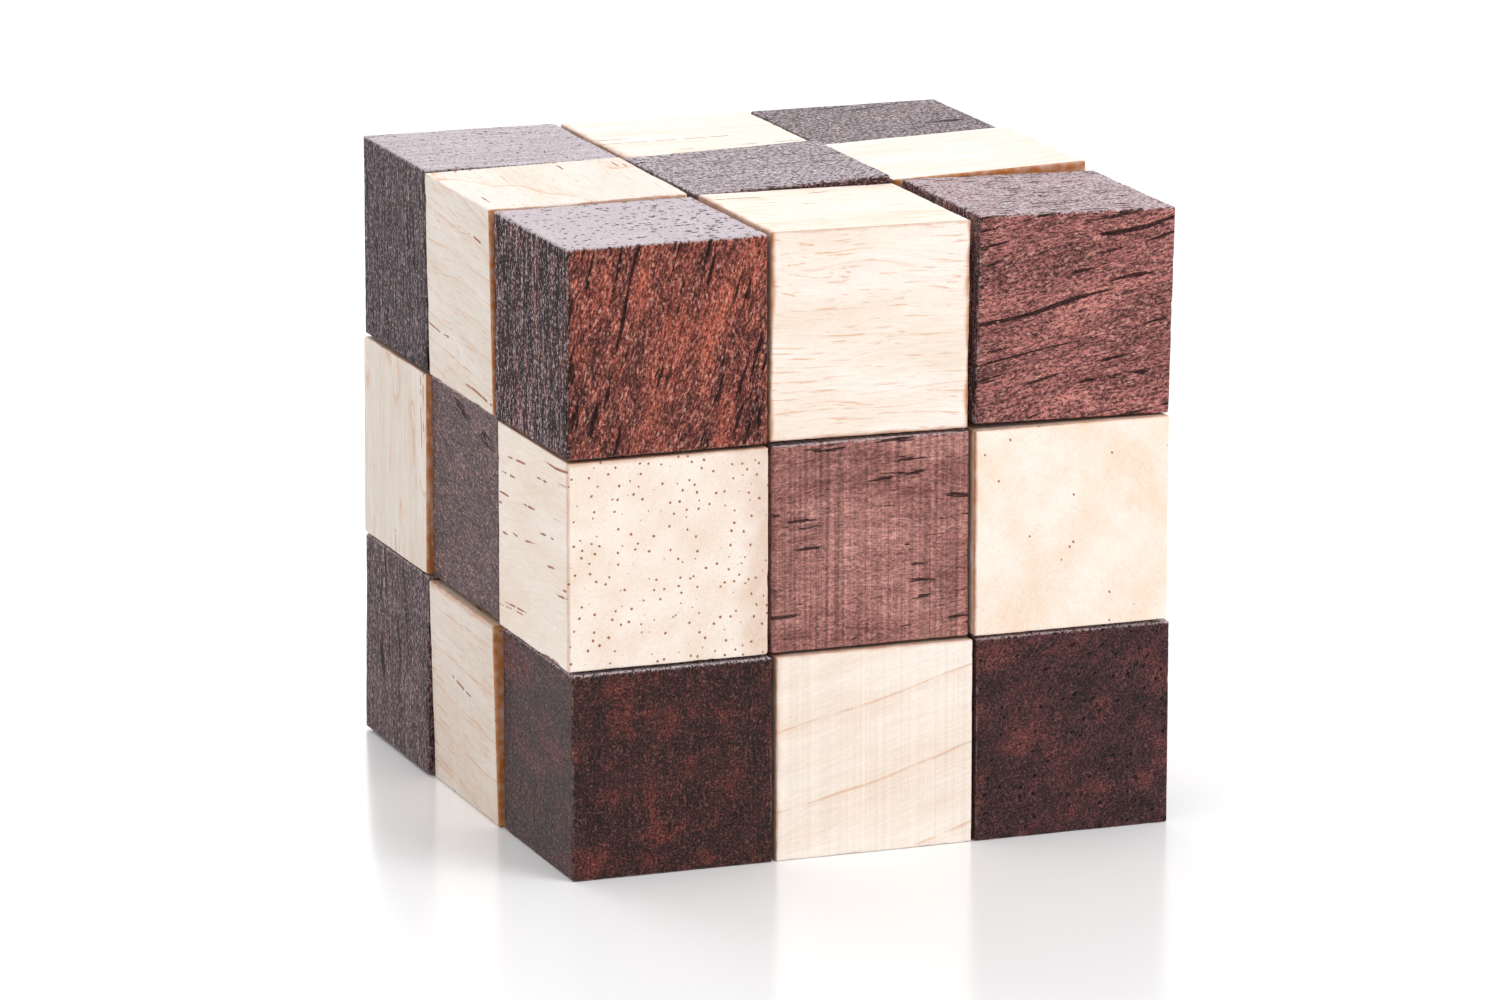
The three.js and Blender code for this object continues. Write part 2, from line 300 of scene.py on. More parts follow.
class WoodSettings(bpy.types.PropertyGroup):
    """Colours of the two woods."""

    vessel: hex_colour("Dark vessels", "#120909", "The open vessels of the stained wood")
    fleck: hex_colour("Pale flecks", "#CDA092", "Bare or dusty specks in the stained wood")
    # Painted glints and sheen: pale specks on the rough-sawn faces and over the top face, where light
    # reflects at a flat angle.
    dust: hex_colour("Fibre dust", "#C6BAC0", "Pale torn fibres on the rough-sawn and the top faces")
    bloom: hex_colour("Bloom", "#F2D8E0", "What the stained wood shows at a flat angle")
    # A paler colour painted in patches along the dark cubelets' edges.
    pale_edge: hex_colour("Bare edge", "#A98C7E", "Stain worn thin along the dark cubelets' edges")
    pore: hex_colour("Pores", "#95430F", "The pores of the light wood")
    ring: hex_colour("Ring lines", "#D0915A", "The growth-ring lines of the light wood")
    # Painted shade and warm bounced light, in the gaps along the light cubelets' edges that meet dark
    # neighbours.
    rub: hex_colour("Rubbed stain", "#AD6629", "Stain that the dark cubelets rub off on light edges")
    # The colour that darkens the drilled walls and lips of the cord holes.
    bore_darkening: hex_colour("Bored wood", "#7A5A42", "The scorched wall of a cord hole")


class CordSettings(bpy.types.PropertyGroup):
    """Sizes and colours of the elastic, its knots and the plugs over them."""

    diameter: length("Cord diameter", 2.5, 4.0, "Diameter of the elastic over its braid", least=1.0)
    strand: length("Strand relief", 0.12, 0.4, "Depth of the valleys between the braid's strands")
    lay: length("Braid lay", 7.0, 20.0, "Length of cord in which a strand winds once round it", least=3.0)
    yarn: hex_colour("Yarn", "#E6DFD2", "The braided cover's yarn")
    valley: hex_colour("Valleys", "#A89C8A", "The gaps between the strands")
    plug: hex_colour("Plug", "#D2AC7E", "The plugs' end grain")
    plug_pore: hex_colour("Plug pores", "#7A4E30", "The fine pores in the plugs' end grain")


class StageSettings(bpy.types.PropertyGroup):
    """The camera and the studio."""

    azimuth: bpy.props.FloatProperty(
        name="Azimuth", description="Turn of the view about the cube, from straight in front",
        default=math.radians(-20.589), subtype="ANGLE")
    elevation: bpy.props.FloatProperty(
        name="Elevation", description="Height of the view above the table's plane",
        default=math.radians(13.141), subtype="ANGLE")
    distance: length("Distance", 748.3, 3000, "From the camera to the point it looks at", least=200)
    lens: bpy.props.FloatProperty(name="Lens", description="Focal length in millimetres", default=186.2)
    aim: bpy.props.FloatVectorProperty(
        name="Aim", description="The point that the camera looks at", subtype="TRANSLATION", size=3,
        default=(-0.898 * MM, 0, 27.42 * MM))
    table: hex_colour("Table", "#FAFAFB", "The table's white gloss surface")
    daylight: bpy.props.FloatProperty(
        name="Daylight", description="Strength of the white studio all around", default=0.88, min=0)
    key: bpy.props.FloatProperty(
        name="Key light", description="Power of the large soft light above the right front, in watts",
        default=4.4, min=0)
    back: bpy.props.FloatProperty(
        name="Back light", description="Power of the large soft light above and behind, in watts",
        default=13.5, min=0)


def connect(tree, node, links):
    """Sets a node's inputs, each to a plain value, a socket, or the output that another node has in use."""
    for name, value in links.items():
        if isinstance(value, bpy.types.Node):
            value = next(socket for socket in value.outputs if socket.enabled)
        if isinstance(value, bpy.types.NodeSocket):
            tree.links.new(value, node.inputs[name])
        else:
            node.inputs[name].default_value = value


def add(tree, kind, settings=None, links=None):
    """Adds a node with its settings and links."""
    node = tree.nodes.new(kind)
    row, column = divmod(len(tree.nodes), NODES_ABREAST)
    node.location = (NODE_GAPS[0] * column, -NODE_GAPS[1] * row)
    for name, value in (settings or {}).items():
        setattr(node, name, value)
    connect(tree, node, links or {})
    return node


def new_tree(name, inputs):
    """A Geometry Nodes tree with its named inputs, and the sockets that give them."""
    tree = bpy.data.node_groups.new(name, "GeometryNodeTree")
    for label, kind in inputs.items():
        tree.interface.new_socket(name=label, in_out="INPUT", socket_type=f"NodeSocket{kind}")
    tree.interface.new_socket(name="Geometry", in_out="OUTPUT", socket_type="NodeSocketGeometry")
    return tree, add(tree, "NodeGroupInput").outputs


def end_tree(tree, solid, material):
    """Ends a tree: smooth shading, real geometry, and its material."""
    smooth = add(tree, "GeometryNodeSetShadeSmooth", links={"Geometry": solid})
    real = add(tree, "GeometryNodeRealizeInstances", links={"Geometry": smooth})
    dressed = add(tree, "GeometryNodeSetMaterial", links={"Geometry": real, "Material": material})
    add(tree, "NodeGroupOutput", links={"Geometry": dressed})


def grow(name, tree, values, source=None):
    """Runs a Geometry Nodes tree and returns its result as a plain piece with no modifier."""
    piece = bpy.data.objects.new(name, source or bpy.data.meshes.new(name))
    bpy.context.scene.collection.objects.link(piece)
    modifier = piece.modifiers.new(tree.name, "NODES")
    modifier.node_group = tree
    inputs = {item.name: item.identifier for item in tree.interface.items_tree
              if item.item_type == "SOCKET" and item.in_out == "INPUT"}
    for label, value in values.items():
        modifier[inputs[label]] = value
    depsgraph = bpy.context.evaluated_depsgraph_get()
    made = bpy.data.meshes.new_from_object(
        piece.evaluated_get(depsgraph), preserve_all_data_layers=True, depsgraph=depsgraph)
    if not len(made.polygons):
        raise RuntimeError(f"{name} came out empty")
    bpy.data.objects.remove(piece)
    made.name = name
    result = bpy.data.objects.new(name, made)
    bpy.context.scene.collection.objects.link(result)
    return result


def body_of(node):
    """The name of the body that a node rides on."""
    return frame["nodes"][node].parent.name.split(":", 1)[1]


def node_of(number):
    """The node of one cubelet."""
    start = f"cubelet_{number:02d}_"
    return next(name for name in frame["nodes"] if name.startswith(start))


def settle(piece, node):
    """Makes a piece stand for a node and ride on the node's body."""
    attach(piece, body_of(node))
    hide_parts(node)


def points_of(mesh):
    """A mesh's points, one row each."""
    spots = np.empty(len(mesh.vertices) * 3)
    mesh.vertices.foreach_get("co", spots)
    return spots.reshape(-1, 3)


def seat_of(number):
    """A cubelet's seat: a matrix from the middle of the cubelet, worked out from its flat faces."""
    mesh = frame["nodes"][node_of(number)].data
    corners = points_of(mesh)
    middle = Vector((corners.min(0) + corners.max(0)) / 2)
    normals, reaches = {}, {}
    for name, way in FACES.items():
        flats = [face for face in mesh.polygons
                 if face.normal.dot(way) > SQUARE_ON and (face.center - middle).dot(way) > FLAT_FROM * MM]
        normal = sum((face.normal * face.area for face in flats), Vector()).normalized()
        area = sum(face.area for face in flats)
        normals[name] = normal
        reaches[name] = sum(face.center.dot(normal) * face.area for face in flats) / area
    x = (normals["right"] - normals["left"]).normalized()
    y = (normals["back"] - normals["front"]).normalized()
    z = x.cross(y).normalized()
    y = z.cross(x)
    spin = Matrix((x, y, z)).transposed()
    centre = (x * (reaches["right"] - reaches["left"]) + y * (reaches["back"] - reaches["front"])
              + z * (reaches["top"] - reaches["under"])) / 2
    return Matrix.Translation(centre) @ spin.to_4x4()


def way_to(number, other):
    """The step from a cubelet to the next or the last one."""
    if other > number:
        return STEPS[FOLD[number - 1]]
    return -STEPS[FOLD[number - 2]]


def neighbours(number):
    """The cubelets that a cubelet is tied to."""
    return [other for other in (number - 1, number + 1) if 1 <= other <= COUNT]


def is_straight(number):
    """True where the cord goes straight on through a cubelet."""
    return 1 < number < COUNT and FOLD[number - 2] == FOLD[number - 1]


def cells():
    """The cells that the chain passes through, in order."""
    found = [Vector((0, 0, 0))]
    for letter in FOLD:
        found.append(found[-1] + STEPS[letter])
    return found


def has_neighbour(number, way):
    """True where another cubelet lies against this face in the folded cube."""
    return all(0 <= part <= 2 for part in cells()[number - 1] + way)


def cubelet_tree():
    """Geometry Nodes: a block on a closed lattice, its edges worn round, drilled from two faces."""
    inputs = {"Edge": "Float", "Cells": "Int", "Rounding": "Float", "Wear": "Float", "Ripple": "Float",
              "Flare": "Float", "Seed": "Float", "Wood": "Material"}
    for letter in "AB":
        inputs.update({f"Way {letter}": "Vector", f"Start {letter}": "Float", f"Radius {letter}": "Float",
                       f"Flare {letter}": "Float"})
    tree, given = new_tree("Worn cubelet", inputs)
    half = add(tree, "ShaderNodeMath", TIMES, {0: given["Edge"], 1: 0.5})

    # A closed lattice, with its lines gathered towards the edges by a sine.
    rows = add(tree, "ShaderNodeMath", PLUS, {0: given["Cells"], 1: 1.0})
    size = add(tree, "ShaderNodeCombineXYZ", links={axis: given["Edge"] for axis in "XYZ"})
    block = add(tree, "GeometryNodeMeshCube", links={
        "Size": size, "Vertices X": rows, "Vertices Y": rows, "Vertices Z": rows})
    position = add(tree, "GeometryNodeInputPosition")
    apart = add(tree, "ShaderNodeSeparateXYZ", links={0: position}).outputs
    gathered = {}
    for axis in "XYZ":
        part = add(tree, "ShaderNodeMath", {"operation": "DIVIDE"}, {0: apart[axis], 1: half})
        angle = add(tree, "ShaderNodeMath", TIMES, {0: part, 1: math.pi / 2})
        sine = add(tree, "ShaderNodeMath", SINE, {0: angle})
        mixed = add(tree, "ShaderNodeMix", {"data_type": "FLOAT"}, {
            "Factor": CROWDING, "A": part, "B": sine})
        gathered[axis] = add(tree, "ShaderNodeMath", TIMES, {0: mixed, 1: half})
    lattice = add(tree, "GeometryNodeSetPosition", links={
        "Geometry": block, "Position": add(tree, "ShaderNodeCombineXYZ", links=gathered)})

    # The radius of the edge wanders, and is larger where a broad or a fine noise runs high.
    place = add(tree, "ShaderNodeVectorMath", SCALED, {0: position, "Scale": 1 / MM})
    broad, fine, hollow = (
        add(tree, "ShaderNodeTexNoise", {"noise_dimensions": "4D"}, {
            "Vector": place, "W": given["Seed"], "Scale": scale, "Detail": detail, "Roughness": roughness})
        for scale, detail, roughness in ((0.22, 3.0, 0.5), (0.9, 2.0, 0.5), (0.35, 4.0, 0.6)))
    worn = add(tree, "ShaderNodeMapRange", SMOOTH, {
        "Value": broad, "From Min": 0.42, "From Max": 0.75, "To Max": 0.7})
    chipped = add(tree, "ShaderNodeMapRange", SMOOTH, {
        "Value": fine, "From Min": 0.56, "From Max": 0.74, "To Max": 0.8})
    both = add(tree, "ShaderNodeMath", PLUS, {0: worn, 1: chipped})
    radius = add(tree, "ShaderNodeMath", TIMES_PLUS, {0: both, 1: given["Wear"], 2: given["Rounding"]})

    # Each point is pulled onto a ball of that radius about the nearest point of the inner block.
    inset = add(tree, "ShaderNodeMath", MINUS, {0: half, 1: radius})
    low = add(tree, "ShaderNodeMath", TIMES, {0: inset, 1: -1.0})
    nearest = {}
    for axis in "XYZ":
        above = add(tree, "ShaderNodeMath", LARGER, {0: apart[axis], 1: low})
        nearest[axis] = add(tree, "ShaderNodeMath", SMALLER, {0: above, 1: inset})
    inner = add(tree, "ShaderNodeCombineXYZ", links=nearest)
    out = add(tree, "ShaderNodeVectorMath", MINUS, {0: position, 1: inner})
    facing = add(tree, "ShaderNodeVectorMath", {"operation": "NORMALIZE"}, {0: out})
    dip = add(tree, "ShaderNodeMath", TIMES, {0: hollow, 1: given["Ripple"]})
    reach = add(tree, "ShaderNodeMath", MINUS, {0: radius, 1: dip})
    bulge = add(tree, "ShaderNodeVectorMath", SCALED, {0: facing, "Scale": reach})
    solid = add(tree, "GeometryNodeSetPosition", links={
        "Geometry": lattice, "Position": add(tree, "ShaderNodeVectorMath", PLUS, {0: inner, 1: bulge})})

    # Two ways are drilled, each by a straight cutter and a short flared one at its mouth.
    far = add(tree, "ShaderNodeMath", PLUS, {0: half, 1: CUT_CLEARANCE * MM})
    mouth = add(tree, "ShaderNodeMath", MINUS, {0: half, 1: MOUTH_DEPTH * MM})
    for letter in "AB":
        way, start, bore = (given[f"{label} {letter}"] for label in ("Way", "Start", "Radius"))
        lean = add(tree, "FunctionNodeAlignRotationToVector", {"axis": "Z"}, {"Vector": way})
        depth = add(tree, "ShaderNodeMath", MINUS, {0: far, 1: start})
        doubled = add(tree, "ShaderNodeMath", PLUS, {0: far, 1: start})
        middle = add(tree, "ShaderNodeMath", TIMES, {0: doubled, 1: 0.5})
        drill = add(tree, "GeometryNodeMeshCylinder", links={
            "Vertices": BORE_SIDES, "Radius": bore, "Depth": depth})
        wide = add(tree, "ShaderNodeMath", TIMES, {0: given["Flare"], 1: given[f"Flare {letter}"]})
        top = add(tree, "ShaderNodeMath", TIMES_PLUS, {0: wide, 1: 2.0, 2: bore})
        sink = add(tree, "GeometryNodeMeshCone", links={
            "Vertices": BORE_SIDES, "Radius Top": top, "Radius Bottom": bore, "Depth": 2 * MOUTH_DEPTH * MM})
        for cutter, along in ((drill, middle), (sink, mouth)):
            offset = add(tree, "ShaderNodeVectorMath", SCALED, {0: way, "Scale": along})
            set_in = add(tree, "GeometryNodeTransform", links={
                "Geometry": cutter, "Translation": offset, "Rotation": lean})
            solid = add(tree, "GeometryNodeMeshBoolean", {"operation": "DIFFERENCE", "solver": "MANIFOLD"}, {
                "Mesh 1": solid, "Mesh 2": set_in})
    end_tree(tree, solid, given["Wood"])
    return tree


def drilled_ways(number):
    """The inputs that say where a cubelet's two ways are drilled."""
    ties = neighbours(number)
    first = way_to(number, ties[0])
    if len(ties) == 1:
        start, second = -BORE_OVERRUN, (-first, HALF - POCKET_DEPTH, POCKET_RADIUS, POCKET_FLARE)
    elif is_straight(number):
        start, second = -HALF - CUT_CLEARANCE, (-first, SECOND_START, SECOND_BORE, 1.0)
    else:
        start, second = -BORE_OVERRUN, (way_to(number, ties[1]), -BORE_OVERRUN, SECOND_BORE, 1.0)
    inputs = {}
    for letter, (way, start, radius, flare) in zip("AB", ((first, start, BORE_RADIUS, 1.0), second)):
        inputs.update({f"Way {letter}": way, f"Start {letter}": start * MM, f"Radius {letter}": radius * MM,
                       f"Flare {letter}": flare})
    return inputs


def write_marks(piece, number, stains, sawn):
    """Writes where the wood is bored or rough-sawn, where shade, glints and sheen are painted, and how near
    an edge each point is.
    """
    mesh = piece.data
    spots = points_of(mesh) / MM
    heights = {name: spots @ np.array(way) for name, way in FACES.items()}
    _, nearly, most = np.sort(np.abs(spots), axis=1).T
    edge = HALF - nearly

    # A bore's wall lies well inside the faces, and its lip just inside one, away from the edges.
    lip = np.clip((HALF - LIP_START - most) / LIP_FADE, 0, 1)
    bored = np.maximum(most < HALF - WALL_DEPTH, np.where(edge < LIP_INSET, 0.0, lip))

    # Shade and warm bounced light are painted in a band along each edge that meets a neighbour, and in the
    # listed strips.
    rub = np.zeros(len(spots))
    shift = Vector((number * GAP_SHADE_SHIFT, 0, 0))
    wander = np.array([noise.noise(Vector(spot) * WANDER_PACE + shift) for spot in spots])
    gap_band = np.clip(1 - edge / (GAP_SHADE_WIDTH + GAP_SHADE_WANDER * wander), 0, 1) * GAP_SHADE_STRENGTH
    for name, way in FACES.items():
        if has_neighbour(number, way):
            rub = np.maximum(rub, np.where(heights[name] > HALF - GAP_SHADE_SKIN, gap_band, 0))
    for face, side, width, strength in stains:
        gap = HALF - heights[side]
        fade = np.clip(STRIP_PLATEAU - gap / (width * (1 + STRIP_WANDER * wander)), 0, 1)
        rub = np.maximum(rub, np.where(heights[face] > HALF - FACE_SKIN, fade * strength, 0))

    # How surely a point lies on each face.
    on_face = {name: np.clip((height - HALF + FACE_SKIN) / FACE_FADE, 0, 1)
               for name, height in heights.items()}
    # Rough-sawn faces, with a strength that also sets the shade painted into their grooves.
    coarse = np.zeros(len(spots))
    for face, strength in sawn:
        coarse = np.maximum(coarse, strength * on_face[face])
    # The top face is marked for a painted sheen.
    marks = {"rough_sawn": coarse, "dusty": on_face["top"], "bored": bored,
             "edge_gap": np.clip(edge, 0, EDGE_REACH), "rubbed": rub}
    for name, values in marks.items():
        layer = mesh.attributes.new(name, "FLOAT", "POINT")
        layer.data.foreach_set("value", values.astype(np.float32))


def new_finish(name):
    """A new material, its tree and its shader."""
    material = bpy.data.materials.new(name)
    material.use_nodes = True
    return material, material.node_tree, material.node_tree.nodes["Principled BSDF"]


def wood_frame(tree, seat, grain, roll):
    """Coordinates in millimetres from the cubelet's middle, with X along the grain."""
    turn = Vector(grain).to_track_quat("X", "Z") @ Quaternion((1, 0, 0), math.radians(roll))
    where = add(tree, "ShaderNodeTexCoord").outputs["Object"]
    return add(tree, "ShaderNodeMapping", {"vector_type": "TEXTURE"}, {
        "Vector": where, "Location": seat.translation, "Rotation": turn.to_euler(), "Scale": (MM, MM, MM)})


def cut_from(shift):
    """Where in the endless patterns a cubelet's own piece of wood is cut from."""
    return shift, shift * 0.7, -shift


def figure(tree, where, pace, shift=0.0, detail=2.0, roughness=0.5):
    """Natural figure in wood, with so many features per millimetre along the grain and across it."""
    laid = add(tree, "ShaderNodeMapping", links={"Vector": where, "Scale": pace, "Location": cut_from(shift)})
    return add(tree, "ShaderNodeTexNoise", links={
        "Vector": laid, "Scale": 1.0, "Detail": detail, "Roughness": roughness})


def swayed(tree, straight, pace, shift, reach):
    """The wood's coordinates once its grain wanders sideways by some millimetres."""
    drift = figure(tree, straight, pace, shift).outputs["Color"]
    return add(tree, "ShaderNodeVectorMath", TIMES_PLUS, {0: drift, 1: (0.0, reach, reach), 2: straight})


def scattered(tree, where, pace, shift, settings, regular=0.0):
    """Spots scattered through wood: how far the nearest one is, and three numbers drawn for it."""
    laid = add(tree, "ShaderNodeMapping", links={"Vector": where, "Scale": pace, "Location": cut_from(shift)})
    spot = add(tree, "ShaderNodeTexVoronoi", settings, {
        "Vector": laid, "Scale": 1.0, "Randomness": 1.0 - regular}).outputs
    return spot["Distance"], add(tree, "ShaderNodeSeparateColor", links={0: spot["Color"]}).outputs


def tint(tree, colour, over, pattern, low, high, strength, within=None, settings=None):
    """Lays a colour over the wood as a pattern runs from low to high, within a mask where one is given."""
    share = add(tree, "ShaderNodeMapRange", settings, {
        "Value": pattern, "From Min": low, "From Max": high, "To Max": strength})
    if within is not None:
        share = add(tree, "ShaderNodeMath", TIMES, {0: share, 1: within})
    return add(tree, "ShaderNodeMix", TWO_COLOURS, {0: share, 6: colour, 7: over})


def shade(tree, colour, pattern, low, high, darkest, lightest):
    """Darkens and lightens the wood as a pattern runs from low to high."""
    level = add(tree, "ShaderNodeMapRange", links={
        "Value": pattern, "From Min": low, "From Max": high, "To Min": darkest, "To Max": lightest})
    return add(tree, "ShaderNodeVectorMath", SCALED, {0: colour, "Scale": level})


def through_tones(tree, pattern, tones, levels):
    """Leads a colour through the wood's tones as a pattern rises through the levels."""
    colour = tones[0]
    for low, high, tone in zip(levels, levels[1:], tones[1:]):
        colour = tint(tree, colour, tone, pattern, low, high, 1.0)
    return colour


def relief(tree, layers, strength, depth):
    """Adds up the heights of patterns, and turns them into a bump with a depth in millimetres."""
    height = 0.0
    for pattern, share in layers:
        height = add(tree, "ShaderNodeMath", TIMES_PLUS, {0: pattern, 1: share, 2: height})
    return add(tree, "ShaderNodeBump", links={"Strength": strength, "Distance": depth * MM, "Height": height})


def vessels_in(tree, where, shift, spacing, radius, keep, run):
    """A mask of open vessels: long round tubes along the grain, each open only here and there."""
    parts = add(tree, "ShaderNodeSeparateXYZ", links={0: where}).outputs
    flat = add(tree, "ShaderNodeCombineXYZ", links={0: parts[1], 1: parts[2]})
    distance, drawn = scattered(
        tree, flat, (1 / spacing, 1 / spacing, 1.0), shift, {"voronoi_dimensions": "2D"}, regular=0.15)

    # Each vessel has its own track through a noise, which opens and closes it along the grain.
    track = [add(tree, "ShaderNodeMath", TIMES, {0: part, 1: pace})
             for part, pace in ((parts[0], 1 / run), (drawn[1], TRACK_SHIFT), (drawn[2], TRACK_SHIFT))]
    route = add(tree, "ShaderNodeCombineXYZ", links=dict(enumerate(track)))
    gate = add(tree, "ShaderNodeTexNoise", links={"Vector": route, "Scale": 1.0, "Detail": 1.0})
    opened = add(tree, "ShaderNodeMapRange", links={"Value": gate, "From Min": 0.36, "From Max": 0.48})
    size = add(tree, "ShaderNodeMapRange", links={
        "Value": drawn[0], "From Min": 1 - keep, "From Max": 1 - keep * 0.7, "To Max": radius / spacing})
    limit = add(tree, "ShaderNodeMath", TIMES, {0: size, 1: opened})

    # Its outline is ragged by about a fifth of its radius.
    ragged = 0.64 * radius / spacing
    rough = figure(tree, where, (3.5, 3.5, 3.5))
    swollen = add(tree, "ShaderNodeMath", TIMES_PLUS, {0: rough, 1: ragged, 2: distance})
    reach = add(tree, "ShaderNodeMath", MINUS, {0: swollen, 1: ragged / 2})
    inside = add(tree, "ShaderNodeMath", MINUS, {0: limit, 1: reach})
    return add(tree, "ShaderNodeMapRange", SMOOTH, {"Value": inside, "From Min": 0.0, "From Max": 0.05})


def dashes_in(tree, where, shift, clusters):
    """A mask of fine dashes along the grain, sparse everywhere and gathered into dark clusters."""
    along, across, share = clusters
    distance, drawn = scattered(tree, where, (1 / along, 1 / across, 1 / across), shift, None)
    filled = add(tree, "ShaderNodeMath", {"operation": "GREATER_THAN"}, {0: drawn[0], 1: 1 - share})
    near = add(tree, "ShaderNodeMapRange", links={
        "Value": distance, "From Min": 0.0, "From Max": 0.42, "To Min": 1.0, "To Max": 0.0})
    gathered = add(tree, "ShaderNodeMath", TIMES, {0: filled, 1: near})
    dash = figure(tree, where, (0.42, 3.6, 3.6), shift + 1, 2.0, 0.6)
    total = add(tree, "ShaderNodeMath", TIMES_PLUS, {0: gathered, 1: 0.42, 2: dash})
    return add(tree, "ShaderNodeMapRange", SMOOTH, {"Value": total, "From Min": 0.66, "From Max": 0.76})


def bore_walls(tree, colour):
    """Darkens the drilled wall of a cord hole and the lip of its mouth."""
    bored = add(tree, "ShaderNodeAttribute", {"attribute_name": "bored"}).outputs["Fac"]
    bore_darkening = bpy.context.scene.snake_woods.bore_darkening
    darkened = add(tree, "ShaderNodeMix", {"data_type": "RGBA", "blend_type": "MULTIPLY"}, {
        0: 0.75, 6: colour, 7: bore_darkening})
    return add(tree, "ShaderNodeMix", TWO_COLOURS, {0: bored, 6: colour, 7: darkened})


def stained_wood(number, seat, look):
    """Rubberwood stained walnut brown and sawn, not sealed.

    The stain sinks unevenly, so the eye meets brown and red blotches under a grey bloom at a flat
    angle; open vessels drink more stain and read as near-black dashes along the grain, or as dots
    where the grain comes out of the face. The saw leaves fine strokes across it.
    """
    wood = bpy.context.scene.snake_woods
    material, tree, shader = new_finish(f"Walnut-stained rubberwood {number:02d}")
    shift = number * DARK_SHIFT
    coarse, depth = look["grit"], look["saw_depth"]
    block = wood_frame(tree, seat, (1, 0, 0), 0)
    straight = wood_frame(tree, seat, look["grain"], look["roll"])
    sway = swayed(tree, straight, (0.06, 0.16, 0.16), shift, 2.4)

    tones = [linear(tone) for tone in look["tones"]]
    tone = figure(tree, sway, (0.07, 0.3, 0.3), shift, 4.0, 0.6)
    colour = through_tones(tree, tone, tones, (0.34, 0.52, 0.74))

    # Red blotches half a millimetre across and three times as long.
    blotches = figure(tree, sway, (0.7, 2.0, 2.0), shift + 5, 6.0, 0.72)
    colour = tint(tree, colour, tones[2], blotches, 0.47, 0.68, look["blotch"], settings=SMOOTH)

    # Fibres of about 0.15 mm, drawn a little coarser than real ones so that they show.
    fibres = figure(tree, sway, (0.6, 5.5, 5.5), shift, 3.0, 0.7)
    grit = figure(tree, sway, (2.6, 5.0, 5.0), shift + 6, 2.0, 0.8)
    colour = shade(tree, colour, fibres, 0.38, 0.62, 1 - 0.5 * coarse, 1 + 0.5 * coarse)
    colour = shade(tree, colour, grit, 0.38, 0.54, 1 - 0.78 * coarse, 1 + 0.2 * coarse)
    patch = add(tree, "ShaderNodeMapRange", links={
        "Value": blotches, "From Min": 0.42, "From Max": 0.6, "To Min": 0.2})
    colour = tint(tree, colour, wood.fleck, grit, 0.53, 0.66, 0.8 * look["flecks"], patch)

    # Rough-sawn faces: real upright ribs about 0.4 mm apart, with shade painted nearly black between them
    # that darkens the whole face.
    sawn = add(tree, "ShaderNodeAttribute", {"attribute_name": "rough_sawn"}).outputs["Fac"]
    ribs = figure(tree, block, (2.4, 2.4, 0.3), shift + 4, 4.0, 0.7)
    shaded_ribs = shade(tree, colour, ribs, 0.43, 0.6, 0.02, 0.78)
    colour = add(tree, "ShaderNodeMix", TWO_COLOURS, {0: sawn, 6: colour, 7: shaded_ribs})

    # Painted glints: pale specks where light catches the rough-sawn faces, and a painted sheen over the top
    # face.
    dusty = add(tree, "ShaderNodeAttribute", {"attribute_name": "dusty"}).outputs["Fac"]
    glint = add(tree, "ShaderNodeMath", TIMES_PLUS, {0: ribs, 1: 0.5, 2: grit})
    glint_level = add(tree, "ShaderNodeMath", TIMES_PLUS, {0: dusty, 1: 0.14 * look["dust"], 2: glint})
    glint_faces = add(tree, "ShaderNodeMath", LARGER, {0: sawn, 1: dusty})
    colour = tint(tree, colour, wood.dust, glint_level, 0.8, 0.9, 1.0, glint_faces)

    # Saw strokes run straight, whatever the grain does.
    strokes = figure(tree, block, look["saw"], shift, 3.0, 0.65)
    colour = shade(tree, colour, strokes, 0.32, 0.68, 1 - 0.35 * depth, 1 + 0.3 * depth)

    # Vessels a quarter to half a millimetre wide, cut open for some way, and clusters of finer dashes.
    vessels = vessels_in(tree, sway, shift, look["spacing"], look["bore"], look["vessels"], look["run"])
    dashes = dashes_in(tree, sway, shift + 3, look["clusters"])
    open_grain = add(tree, "ShaderNodeMath", LARGER, {0: vessels, 1: dashes})
    colour = tint(tree, colour, wood.vessel, open_grain, 0.0, 1.0, 0.86)

    # Pale flecks of 0.1 to 0.3 mm, where dust or bare wood sits in a pore.
    distance, drawn = scattered(tree, sway, (1.1, 2.1, 2.1), shift + 9, None)
    some = add(tree, "ShaderNodeMapRange", links={
        "Value": drawn[0], "From Min": 0.6, "From Max": 1.0, "To Max": 0.3})
    inside = add(tree, "ShaderNodeMath", MINUS, {0: some, 1: distance})
    colour = tint(tree, colour, wood.fleck, inside, 0.0, 0.08, 0.6 * look["flecks"])

    # The wood is painted paler, in patches, within a quarter of a millimetre of an edge.
    gap = add(tree, "ShaderNodeAttribute", {"attribute_name": "edge_gap"}).outputs["Fac"]
    patchy = figure(tree, straight, (1.2, 1.2, 1.2), detail=4.0)
    rim = add(tree, "ShaderNodeMath", TIMES_PLUS, {0: patchy, 1: 0.5, 2: -0.13})
    paler_rim = add(tree, "ShaderNodeMath", MINUS, {0: rim, 1: gap})
    colour = tint(tree, colour, wood.pale_edge, paler_rim, -0.05, 0.14, 0.45, settings=SMOOTH)

